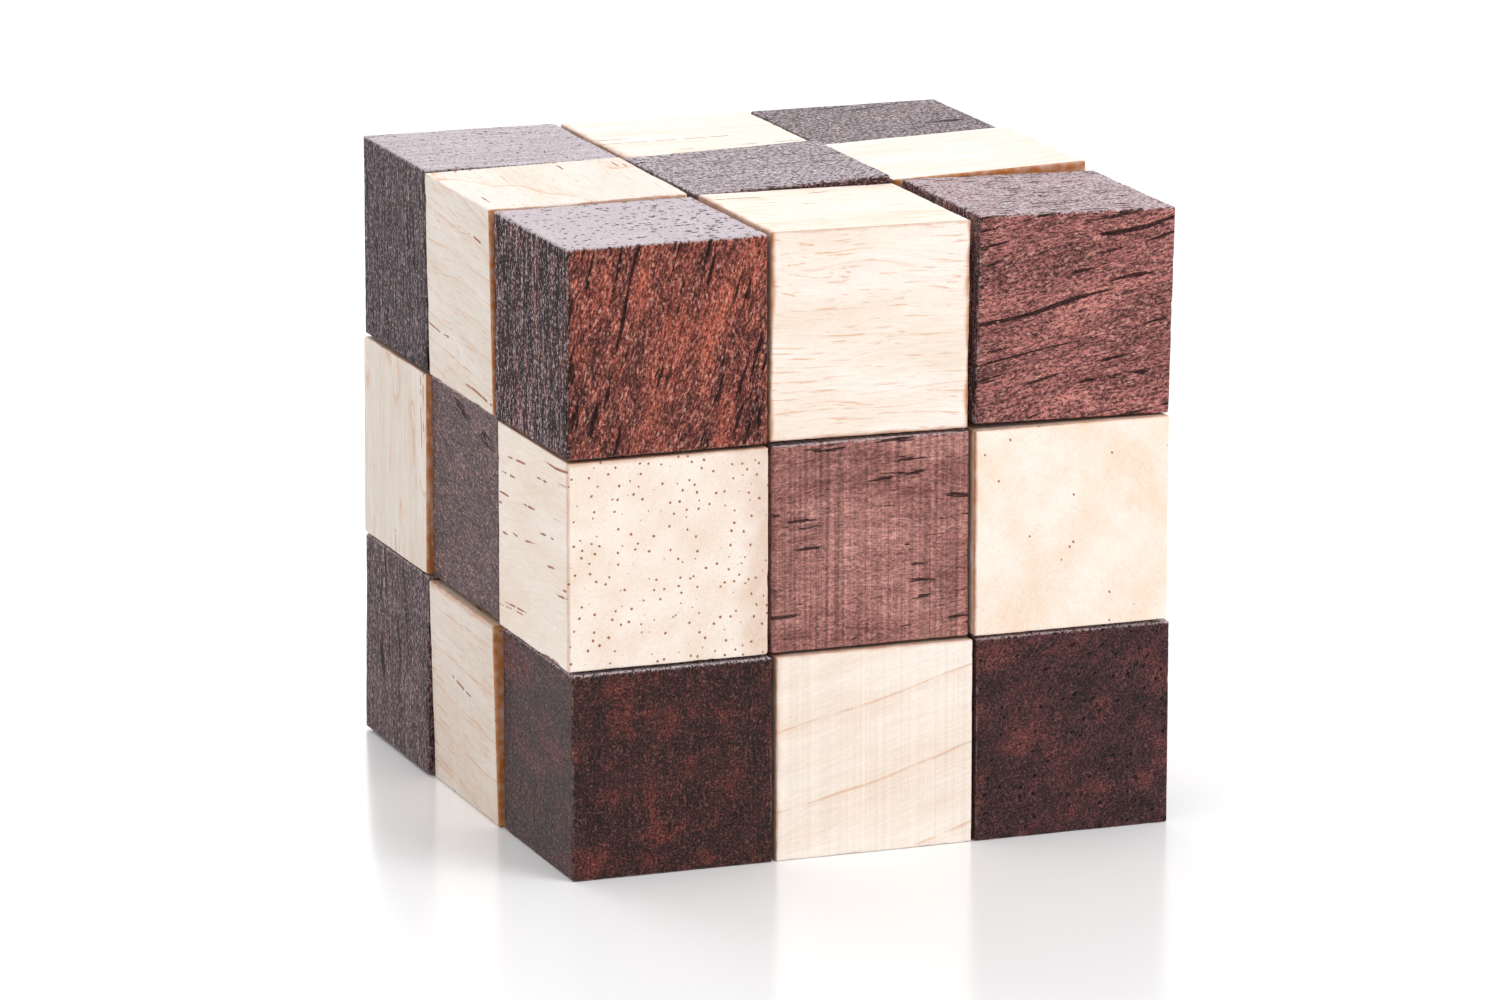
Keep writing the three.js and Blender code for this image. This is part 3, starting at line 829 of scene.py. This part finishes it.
    # Fibres are duller between than on their crests, and open or torn wood is dull all over.
    even = add(tree, "ShaderNodeMapRange", links={
        "Value": fibres, "From Min": 0.3, "From Max": 0.7, "To Min": 0.66, "To Max": 0.5})
    broken = add(tree, "ShaderNodeMath", LARGER, {0: open_grain, 1: sawn})
    rough = add(tree, "ShaderNodeMath", {"operation": "MULTIPLY_ADD", "use_clamp": True}, {
        0: broken, 1: 0.4, 2: even})
    ridge = add(tree, "ShaderNodeMath", TIMES, {0: ribs, 1: sawn})
    layers = ((grit, 1.0), (fibres, 0.5), (strokes, 0.9 * depth), (open_grain, -0.8), (ridge, 2.4))
    connect(tree, shader, {
        "Base Color": bore_walls(tree, colour), "Roughness": rough, "Normal": relief(tree, layers, 1.0, 0.13),
        "IOR": 1.5, "Specular IOR Level": 0.22, "Sheen Weight": 0.1, "Sheen Roughness": 0.3,
        "Sheen Tint": wood.bloom})
    return material


def bare_wood(number, seat, look):
    """Rubberwood sanded and left bare.

    Creamy, with honey-coloured ring lines and small rust-brown pores: dots on end grain and short
    dashes along the grain. Along its edges, shade and warm light bounced off the dark neighbours are painted
    in.
    """
    wood = bpy.context.scene.snake_woods
    material, tree, shader = new_finish(f"Bare sanded rubberwood {number:02d}")
    shift = number * LIGHT_SHIFT
    depth = look["saw_depth"]
    straight = wood_frame(tree, seat, look["grain"], look["roll"])
    sway = swayed(tree, straight, (0.05, 0.12, 0.12), shift, look["wave"])

    tones = [linear(tone) for tone in look["tones"]]
    tone = figure(tree, sway, (0.05, 0.24, 0.24), shift, 5.0, 0.6)
    colour = through_tones(tree, tone, tones, (0.38, 0.66, 0.95))

    # Growth rings: each darkens slowly, then stops at a fine line.
    across = add(tree, "ShaderNodeSeparateXYZ", links={0: sway}).outputs[1]
    bent = figure(tree, straight, (0.05, 0.1, 0.1), shift + 2)
    age = add(tree, "ShaderNodeMath", TIMES_PLUS, {0: bent, 1: look["bend"], 2: across})
    years = add(tree, "ShaderNodeMath", TIMES, {0: age, 1: 1 / look["spacing"]})
    season = add(tree, "ShaderNodeMath", {"operation": "FRACT"}, {0: years})
    line = add(tree, "ShaderNodeValToRGB", links={0: season})
    stops = line.color_ramp.elements
    stops[1].position, stops[1].color = 0.985, (0, 0, 0, 1)
    for place, level in ((0.7, 0.02), (0.94, 0.16), (0.965, 1.0)):
        stops.new(place).color = (level, level, level, 1)
    broken = figure(tree, sway, (0.35, 0.35, 0.35), detail=3.0)
    colour = tint(tree, colour, wood.ring, broken, 0.32, 0.55, look["rings"], line)

    # Fibres, drawn a little coarser than real ones so that they show, and the saw's faint strokes.
    fibres = figure(tree, sway, (0.35, 4.5, 4.5), shift, 3.0, 0.65)
    strokes = figure(tree, wood_frame(tree, seat, (1, 0, 0), 0), look["saw"], shift, 3.0, 0.6)
    grit = figure(tree, straight, (4.5, 4.5, 4.5), 0.0, 2.0, 0.8)
    colour = shade(tree, colour, fibres, 0.3, 0.7, 0.93, 1.05)
    colour = shade(tree, colour, strokes, 0.3, 0.7, 1 - 0.1 * depth, 1 + 0.07 * depth)
    colour = shade(tree, colour, grit, 0.3, 0.7, 0.95, 1.04)

    # Tan flecks, 2 to 4 mm long, where the cut runs into denser wood.
    fleck = figure(tree, sway, (0.2, 4.0, 4.0), shift + 7, 3.0, 0.55)
    colour = tint(tree, colour, wood.ring, fleck, 0.58, 0.68, 0.75 * look["flecks"], settings=SMOOTH)

    # Pores up to 0.3 mm across and a millimetre or two long.
    pores = vessels_in(tree, sway, shift, 1.05, look["bore"], look["pores"], 1.6)
    colour = tint(tree, colour, wood.pore, pores, 0.0, 1.0, 0.92)

    # Painted shade and warm light bounced off the dark neighbours, uneven along the edge.
    rubbed = add(tree, "ShaderNodeAttribute", {"attribute_name": "rubbed"}).outputs["Fac"]
    uneven_gap_shade = add(tree, "ShaderNodeMapRange", links={
        "Value": figure(tree, straight, (1.1, 1.1, 1.1), detail=5.0), "From Min": 0.3, "From Max": 0.6,
        "To Min": 0.65})
    colour = tint(tree, colour, wood.rub, rubbed, 0.0, 1.0, 1.0, uneven_gap_shade)

    rough = add(tree, "ShaderNodeMapRange", links={
        "Value": fibres, "From Min": 0.3, "From Max": 0.7, "To Min": 0.6, "To Max": 0.48})
    layers = ((fibres, 0.4), (strokes, 0.6 * depth), (pores, -0.8))
    connect(tree, shader, {
        "Base Color": bore_walls(tree, colour), "Roughness": rough, "Normal": relief(tree, layers, 0.6, 0.08),
        "IOR": 1.5, "Specular IOR Level": 0.4})
    return material


def make_cubelets(table, common, finish):
    """Makes the cubelets of one wood and settles each in its seat."""
    sizes = bpy.context.scene.snake_cubelets
    tree = bpy.data.node_groups.get("Worn cubelet") or cubelet_tree()
    for number, own in table.items():
        look = {**common, **own}
        seat = seat_of(number)
        piece = grow(f"cubelet_{number:02d}_worn", tree, {
            "Edge": CELL * MM, "Cells": sizes.cells, "Rounding": sizes.rounding, "Wear": sizes.wear,
            "Ripple": sizes.ripple, "Flare": sizes.flare, "Seed": number * WEAR_SHIFT,
            "Wood": finish(number, seat, look), **drilled_ways(number)})
        write_marks(piece, number, look["stains"], look["sawn"])
        piece.data.set_sharp_from_angle(angle=SHARP_ANGLE)
        piece.data.transform(seat)
        settle(piece, node_of(number))


class SNAKE_OT_dark_cubelets(bpy.types.Operator):
    """Make the fourteen dark cubelets, drilled and worn, in walnut-stained rubberwood"""

    bl_idname = "snake.dark_cubelets"
    bl_label = "Dark cubelets"

    def execute(self, context):
        make_cubelets(DARK_CUBELETS, DARK_COMMON, stained_wood)
        return {"FINISHED"}


class SNAKE_OT_light_cubelets(bpy.types.Operator):
    """Make the thirteen light cubelets, drilled and worn, in bare rubberwood"""

    bl_idname = "snake.light_cubelets"
    bl_label = "Light cubelets"

    def execute(self, context):
        make_cubelets(LIGHT_CUBELETS, LIGHT_COMMON, bare_wood)
        return {"FINISHED"}


def cell_centre(number):
    """The middle of a cubelet's cell, in metres."""
    cell = cells()[number - 1]
    return Vector(((cell.x - 1) * PITCH, (cell.y - 1) * PITCH, HALF + cell.z * PITCH)) * MM


def cord_end(number, other):
    """Where a length of cord ends, towards a neighbour or, past the chain's end, at its knot."""
    if not 1 <= other <= COUNT:
        away = -way_to(number, neighbours(number)[0])
        return cell_centre(number) + away * (KNOT_TOP - KNOT_LENGTH - CORD_GAP) * MM
    comes_in = other > number if number < CORE_RUN[0] else other < number and number > CORE_RUN[1]
    parent, child = (other, number) if comes_in else (number, other)
    reach = PULL_REACH if parent in PULLED_FROM else STRETCH_REACH
    distance = reach if comes_in else reach - CORD_GAP
    return cell_centre(parent) + way_to(parent, child) * distance * MM


def cord_points(first, last):
    """The cord's route through a run of cubelets, with a round quarter turn inside each corner one."""
    points = [cord_end(first, first - 1)]
    bend = CORD_BEND_RADIUS * MM
    for number in range(max(first, 2), min(last, COUNT - 1) + 1):
        if is_straight(number):
            continue
        back, on = way_to(number, number - 1), way_to(number, number + 1)
        pivot = cell_centre(number) + (back + on) * bend
        for step in range(BEND_STEPS + 1):
            angle = step / BEND_STEPS * math.pi / 2
            points.append(pivot - on * math.cos(angle) * bend - back * math.sin(angle) * bend)
    points.append(cord_end(last, last + 1))
    return points


def braid_tree():
    """Geometry Nodes: a round section swept along a path, with the relief of a two-way braid."""
    tree, given = new_tree("Braided elastic", {
        "Path": "Geometry", "Diameter": "Float", "Relief": "Float", "Lay": "Float", "Strands": "Float",
        "Step": "Float", "Yarn": "Material"})
    curve = add(tree, "GeometryNodeMeshToCurve", links={"Mesh": given["Path"]})
    fine = add(tree, "GeometryNodeResampleCurve", {"mode": "LENGTH"}, {
        "Curve": curve, "Length": given["Step"]})
    parameter = add(tree, "GeometryNodeSplineParameter").outputs
    marked = add(tree, "GeometryNodeStoreNamedAttribute", ON_POINTS, {
        "Geometry": fine, "Name": "along", "Value": parameter["Length"]})
    radius = add(tree, "ShaderNodeMath", TIMES, {0: given["Diameter"], 1: 0.5})
    section = add(tree, "GeometryNodeCurvePrimitiveCircle", {"mode": "RADIUS"}, {
        "Resolution": CORD_SIDES, "Radius": radius})
    around = add(tree, "ShaderNodeMath", TIMES, {0: parameter["Factor"], 1: math.tau})
    rim = add(tree, "GeometryNodeStoreNamedAttribute", ON_POINTS, {
        "Geometry": section, "Name": "around", "Value": around})
    swept = add(tree, "GeometryNodeCurveToMesh", links={
        "Curve": marked, "Profile Curve": rim, "Fill Caps": True})

    # Strands wind both ways round the cord, and the higher one shows.
    run, angle = (add(tree, "GeometryNodeInputNamedAttribute", {"data_type": "FLOAT"}, {"Name": name})
                  for name in ("along", "around"))
    twist = add(tree, "ShaderNodeMath", {"operation": "DIVIDE"}, {0: run, 1: given["Lay"]})
    wound = add(tree, "ShaderNodeMath", TIMES, {0: twist, 1: math.tau})
    waves = []
    for hand in (PLUS, MINUS):
        spun = add(tree, "ShaderNodeMath", hand, {0: angle, 1: wound})
        paced = add(tree, "ShaderNodeMath", TIMES, {0: spun, 1: given["Strands"]})
        waves.append(add(tree, "ShaderNodeMath", SINE, {0: paced}))
    higher = add(tree, "ShaderNodeMath", LARGER, {0: waves[0], 1: waves[1]})
    height = add(tree, "ShaderNodeMapRange", links={"Value": higher, "From Min": -1.0, "From Max": 1.0})
    braided = add(tree, "GeometryNodeStoreNamedAttribute", ON_POINTS, {
        "Geometry": swept, "Name": "strand", "Value": height})
    lowered = add(tree, "ShaderNodeMath", MINUS, {0: height, 1: 1.0})
    depth = add(tree, "ShaderNodeMath", TIMES, {0: lowered, 1: given["Relief"]})
    push = add(tree, "ShaderNodeVectorMath", SCALED, {
        0: add(tree, "GeometryNodeInputNormal").outputs[0], "Scale": depth})
    shaped = add(tree, "GeometryNodeSetPosition", links={"Geometry": braided, "Offset": push})
    welded = add(tree, "GeometryNodeMergeByDistance", links={"Geometry": shaped, "Distance": WELD_REACH * MM})
    end_tree(tree, welded, given["Yarn"])
    return tree


def elastic_yarn():
    """Polyester braid over rubber: matt off-white yarn, greyer between its strands and in broad patches of
    dirt.
    """
    made = bpy.data.materials.get("Braided polyester elastic")
    if made:
        return made
    cord = bpy.context.scene.snake_cord
    material, tree, shader = new_finish("Braided polyester elastic")
    strand = add(tree, "ShaderNodeAttribute", {"attribute_name": "strand"}).outputs["Fac"]
    where = add(tree, "ShaderNodeTexCoord").outputs["Object"]
    fuzz, dirt = (add(tree, "ShaderNodeTexNoise", links={"Vector": where, "Scale": scale, "Detail": 3.0})
                  for scale in (9 / MM, 0.26 / MM))
    mixed = add(tree, "ShaderNodeMath", TIMES_PLUS, {0: fuzz, 1: 0.35, 2: strand})
    colour = tint(tree, cord.valley, cord.yarn, mixed, 0.3, 0.95, 1.0, settings=SMOOTH)
    colour = tint(tree, colour, cord.valley, dirt, 0.45, 0.75, 0.35)
    rough = add(tree, "ShaderNodeMapRange", links={"Value": fuzz, "To Min": 0.95, "To Max": 0.72})
    connect(tree, shader, {"Base Color": colour, "Normal": relief(tree, ((fuzz, 1.0),), 0.6, 0.03),
                           "Roughness": rough, "Sheen Weight": 0.3})
    return material


def sweep(name, points, diameter, strand):
    """Sweeps the braided elastic along a route."""
    cord = bpy.context.scene.snake_cord
    tree = bpy.data.node_groups.get("Braided elastic") or braid_tree()
    route = bpy.data.meshes.new(name + "_route")
    route.from_pydata(points, [(i, i + 1) for i in range(len(points) - 1)], [])
    return grow(name, tree, {
        "Diameter": diameter, "Relief": strand, "Lay": cord.lay, "Strands": BRAID_STRANDS,
        "Step": BRAID_STEP * MM, "Yarn": elastic_yarn()}, route)


class SNAKE_OT_cord(bpy.types.Operator):
    """Make the elastic cord, one length for each part of the chain that moves"""

    bl_idname = "snake.cord"
    bl_label = "Elastic cord"

    def execute(self, context):
        cord = context.scene.snake_cord
        runs = [CORE_RUN, INNER_RUN]
        runs += [(n, n) for n in range(1, COUNT + 1) if not CORE_RUN[0] <= n <= INNER_RUN[1]]
        for first, last in runs:
            span = f"{first:02d}" if first == last else f"{first:02d}_to_{last:02d}"
            piece = sweep(f"cord_{span}", cord_points(first, last), cord.diameter, cord.strand)
            settle(piece, f"elastic_{span}")
        return {"FINISHED"}


def pocket_of(number):
    """An end cubelet's seat, the way its pocket opens, and a frame whose Z runs out of the pocket."""
    seat, away = seat_of(number), -way_to(number, neighbours(number)[0])
    return seat, away, seat @ away.to_track_quat("Z", "Y").to_matrix().to_4x4()


class SNAKE_OT_knots(bpy.types.Operator):
    """Make the overhand knot at each end of the cord"""

    bl_idname = "snake.knots"
    bl_label = "Knots"

    def execute(self, context):
        for letter, number in ENDS:
            pocket = pocket_of(number)[2]
            middle = KNOT_TOP - KNOT_LENGTH / 2
            points = []
            for step in range(KNOT_STEPS + 1):
                turn = step / KNOT_STEPS * math.tau
                wide = KNOT_SPREAD + KNOT_SWING * math.cos(3 * turn)
                loop = Vector((math.cos(2 * turn) * wide, math.sin(2 * turn) * wide,
                               middle + math.sin(3 * turn) * KNOT_RISE))
                points.append(pocket @ (loop * MM))
            piece = sweep(f"knot_{letter}_tied", points, KNOT_CORD * MM, KNOT_RELIEF * MM)
            settle(piece, f"knot_{letter}")
        return {"FINISHED"}


def plug_wood(seat, away):
    """Beech dowel cut across and sanded: pale tan end grain with fine pores and ring arcs."""
    cord = bpy.context.scene.snake_cord
    material, tree, shader = new_finish("Beech dowel end grain")
    grain = wood_frame(tree, seat, away, PLUG_ROLL)
    dark = [part * PLUG_SHADE for part in cord.plug[:3]] + [1.0]
    tone = figure(tree, grain, (0.1, 0.9, 0.9), detail=5.0)
    colour = through_tones(tree, tone, (dark, cord.plug), (0.35, 0.65))
    arcs = add(tree, "ShaderNodeTexWave", {"wave_type": "BANDS", "bands_direction": "Y"}, {
        "Vector": grain, "Scale": 0.32, "Distortion": 1.5, "Detail": 2.0}).outputs["Fac"]
    colour = tint(tree, colour, dark, arcs, 0.75, 1.0, 0.4)
    pores = vessels_in(tree, grain, 4.0, 0.5, 0.07, 0.8, 4.0)
    colour = tint(tree, colour, cord.plug_pore, pores, 0.0, 1.0, 1.0)
    connect(tree, shader, {
        "Base Color": colour, "Normal": relief(tree, ((pores, -1.0),), 0.5, 0.05), "Roughness": 0.62})
    return material


def plug_profile():
    """Half the outline of a plug, as radius and height: a chamfered foot and a softly domed top."""
    foot = PLUG_TOP - PLUG_LENGTH
    return ((2.2, foot), (2.95, foot), (3.14, foot + 0.2), (3.18, PLUG_TOP - 1.5), (3.2, PLUG_TOP - 0.35),
            (3.16, PLUG_TOP - 0.12), (3.05, PLUG_TOP - 0.03), (2.6, PLUG_TOP), (1.8, PLUG_TOP - 0.01),
            (0.9, PLUG_TOP - 0.02))


def turned(profile):
    """Turns an outline into a closed round mesh, a little out of true as a cut dowel is."""
    points, faces = [], []
    rings = [[ring * PLUG_SIDES + side for side in range(PLUG_SIDES)] for ring in range(len(profile))]
    for ring, (wide, high) in enumerate(profile):
        for side in range(PLUG_SIDES):
            turn = side / PLUG_SIDES * math.tau
            ripple = 1 + PLUG_RIPPLE * noise.noise(Vector((math.cos(turn), math.sin(turn), ring * 0.3)) * 2)
            spread = min(wide * ripple, PLUG_RADIUS)
            points.append(Vector((math.cos(turn) * spread, math.sin(turn) * spread, high)) * MM)
    for lower, upper in zip(rings, rings[1:]):
        faces += zip(lower, lower[1:] + lower[:1], upper[1:] + upper[:1], upper)
    for ring, high in ((rings[0][::-1], profile[0][1]), (rings[-1], profile[-1][1])):
        faces += [(len(points), here, there) for here, there in zip(ring, ring[1:] + ring[:1])]
        points.append(Vector((0, 0, high * MM)))
    return points, faces


class SNAKE_OT_plugs(bpy.types.Operator):
    """Turn the plug that is glued over each knot"""

    bl_idname = "snake.plugs"
    bl_label = "Plugs"

    def execute(self, context):
        points, faces = turned(plug_profile())
        for letter, number in ENDS:
            seat, away, pocket = pocket_of(number)
            mesh = bpy.data.meshes.new(f"plug_{letter}_turned")
            mesh.from_pydata([pocket @ point for point in points], [], faces)
            mesh.polygons.foreach_set("use_smooth", [True] * len(faces))
            mesh.materials.append(plug_wood(seat, away))
            piece = bpy.data.objects.new(mesh.name, mesh)
            context.scene.collection.objects.link(piece)
            settle(piece, f"plug_{letter}")
        return {"FINISHED"}


def gloss_table():
    """White acrylic sheet: bright and even, with a soft reflection that fades at once."""
    stage = bpy.context.scene.snake_stage
    material, tree, shader = new_finish("White acrylic sheet")
    where = add(tree, "ShaderNodeTexCoord").outputs["Object"]
    haze = add(tree, "ShaderNodeTexNoise", links={"Vector": where, "Scale": 14.0, "Detail": 3.0})
    rough = add(tree, "ShaderNodeMapRange", links={"Value": haze, "To Min": 0.14, "To Max": 0.22})
    connect(tree, shader, {"Base Color": stage.table, "Roughness": rough})
    return material


def aim(thing, place, target):
    """Points a camera or a light at a target."""
    thing.location = place
    thing.rotation_euler = (Vector(target) - Vector(place)).to_track_quat("-Z", "Y").to_euler()


class SNAKE_OT_stage(bpy.types.Operator):
    """Set up the camera, the white table and the soft studio light"""

    bl_idname = "snake.stage"
    bl_label = "Stage"

    def execute(self, context):
        scene = context.scene
        stage = scene.snake_stage
        scene.view_settings.view_transform = "Standard"
        camera = bpy.data.objects.new("camera", bpy.data.cameras.new("camera"))
        scene.collection.objects.link(camera)
        camera.data.lens = stage.lens
        camera.data.sensor_width = SENSOR_WIDTH
        camera.data.clip_start = 10 * MM
        azimuth, elevation = stage.azimuth, stage.elevation
        back = Vector((math.sin(azimuth) * math.cos(elevation), -math.cos(azimuth) * math.cos(elevation),
                       math.sin(elevation)))
        aim(camera, Vector(stage.aim) + back * stage.distance, stage.aim)
        scene.camera = camera

        mesh = bpy.data.meshes.new("table")
        corners = ((-1, -1), (1, -1), (1, 1), (-1, 1))
        mesh.from_pydata([(x * TABLE_REACH, y * TABLE_REACH, 0) for x, y in corners], [], [(0, 1, 2, 3)])
        mesh.materials.append(gloss_table())
        table = bpy.data.objects.new("table", mesh)
        scene.collection.objects.link(table)

        scene.world = bpy.data.worlds.new("White studio")
        scene.world.use_nodes = True
        sky = scene.world.node_tree.nodes["Background"]
        sky.inputs["Color"].default_value = (1, 1, 1, 1)
        sky.inputs["Strength"].default_value = stage.daylight
        for name, (size, place) in LAMPS.items():
            lamp = bpy.data.objects.new(f"{name}_light", bpy.data.lights.new(f"{name}_light", "AREA"))
            lamp.data.energy = getattr(stage, name)
            lamp.data.shape = "DISK"
            lamp.data.size = size
            scene.collection.objects.link(lamp)
            aim(lamp, place, (0, 0, MID_HEIGHT))
        return {"FINISHED"}


class SNAKE_PT_panel(bpy.types.Panel):
    """Lists the snake cube's pieces and their sizes and colours"""

    bl_idname = "SNAKE_PT_panel"
    bl_label = "Snake Cube"
    bl_space_type = "VIEW_3D"
    bl_region_type = "UI"
    bl_category = "Snake Cube"

    def draw(self, context):
        scene = context.scene
        for settings, operators in PANEL_PARTS:
            box = self.layout.box()
            group = getattr(scene, settings)
            for name in group.__annotations__:
                box.prop(group, name)
            for operator in operators:
                box.operator(operator)


PANEL_PARTS = (
    ("snake_stage", ("snake.stage",)),
    ("snake_cubelets", ()),
    ("snake_woods", ("snake.dark_cubelets", "snake.light_cubelets")),
    ("snake_cord", ("snake.cord", "snake.knots", "snake.plugs")),
)
GROUPS = {
    "snake_stage": StageSettings,
    "snake_cubelets": CubeletSettings,
    "snake_woods": WoodSettings,
    "snake_cord": CordSettings,
}
CLASSES = (*GROUPS.values(), SNAKE_OT_stage, SNAKE_OT_dark_cubelets, SNAKE_OT_light_cubelets, SNAKE_OT_cord,
           SNAKE_OT_knots, SNAKE_OT_plugs, SNAKE_PT_panel)


def register():
    """Registers the classes and the settings on the scene."""
    for cls in CLASSES:
        bpy.utils.register_class(cls)
    for name, group in GROUPS.items():
        setattr(bpy.types.Scene, name, bpy.props.PointerProperty(type=group))


def unregister():
    """Takes the settings and the classes away again."""
    for name in GROUPS:
        delattr(bpy.types.Scene, name)
    for cls in reversed(CLASSES):
        bpy.utils.unregister_class(cls)


def main():
    """Makes every piece."""
    register()
    bpy.ops.snake.stage()
    bpy.ops.snake.dark_cubelets()
    bpy.ops.snake.light_cubelets()
    bpy.ops.snake.cord()
    bpy.ops.snake.knots()
    bpy.ops.snake.plugs()


if __name__ == "__main__":
    main()
